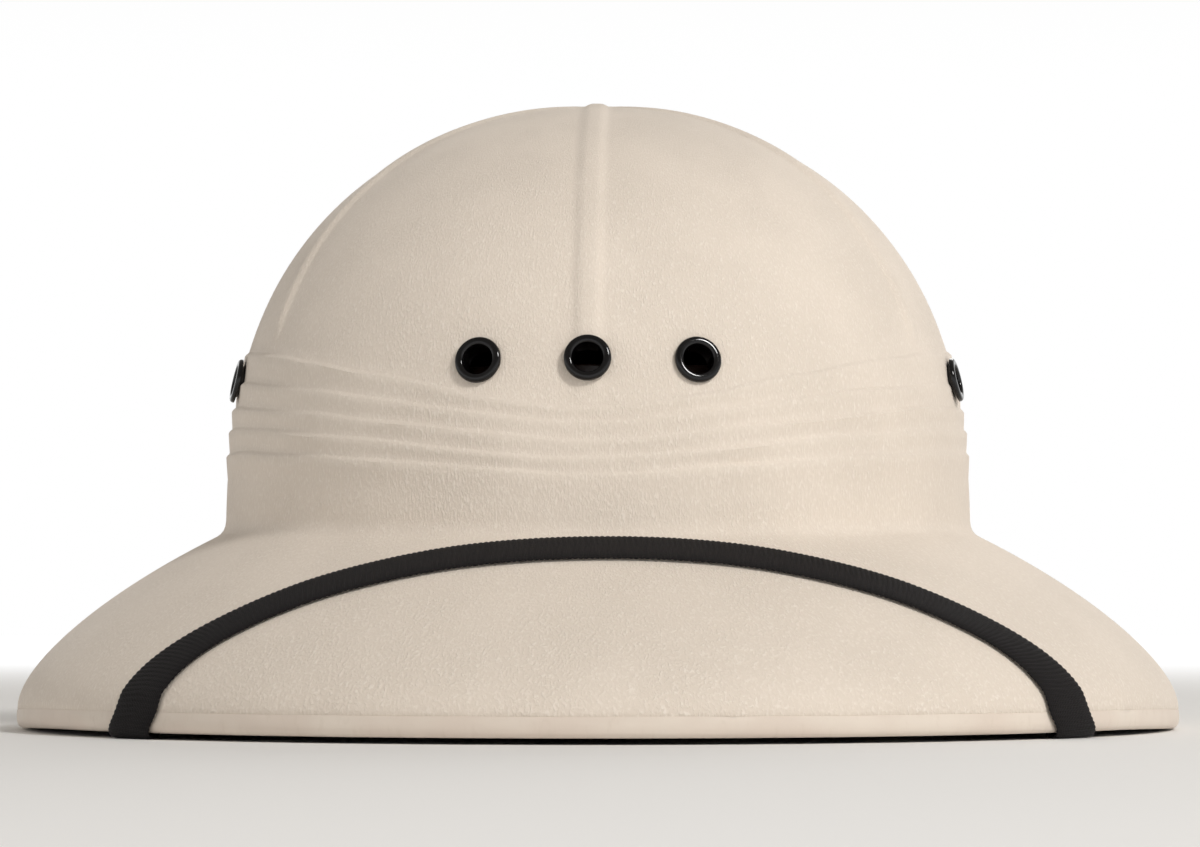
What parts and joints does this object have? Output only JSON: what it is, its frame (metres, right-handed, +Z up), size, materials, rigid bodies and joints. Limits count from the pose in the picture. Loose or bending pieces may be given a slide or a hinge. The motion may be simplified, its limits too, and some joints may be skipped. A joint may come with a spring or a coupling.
{
  "type": "pith helmet",
  "caption": "Cloth-covered sun hat with a domed crown, a wide sloping brim, metal vent eyelets, an inner sweatband and a ribbon chin strap stowed over the front of the brim.",
  "frame": {"origin": "centre of the whole box in plan, on the surface that the hat stands on", "axes": "+Z up to the crown's top; -Y towards the front of the hat, where three eyelets and the strap are; X across the hat"},
  "size_m": [0.2906, 0.3482, 0.1582],
  "materials": {
    "cloth_cover": "matt cream cloth with a fine crepe grain, bonded over pressed fibre",
    "binding_cloth": "matt cream cloth, folded and glued",
    "black_vinyl": "glossy black",
    "brown_vinyl": "dark brown, semi-gloss",
    "dark_felt": "matt dark felt",
    "black_elastic": "woven, ribbed, matt black",
    "black_enamel": "glossy black enamel"
  },
  "bodies": {
    "root": {"shell": "cloth_cover", "rim_binding": "binding_cloth", "opening_piping": "black_vinyl", "sweatband": "brown_vinyl", "band_pad_front": "dark_felt", "band_pad_back": "dark_felt", "band_pad_left": "dark_felt", "band_pad_right": "dark_felt", "chin_strap": "black_elastic", "eyelet_front_left": "black_enamel", "eyelet_front_centre": "black_enamel", "eyelet_front_right": "black_enamel", "eyelet_side_left": "black_enamel", "eyelet_side_right": "black_enamel"}
  },
  "joints": []
}
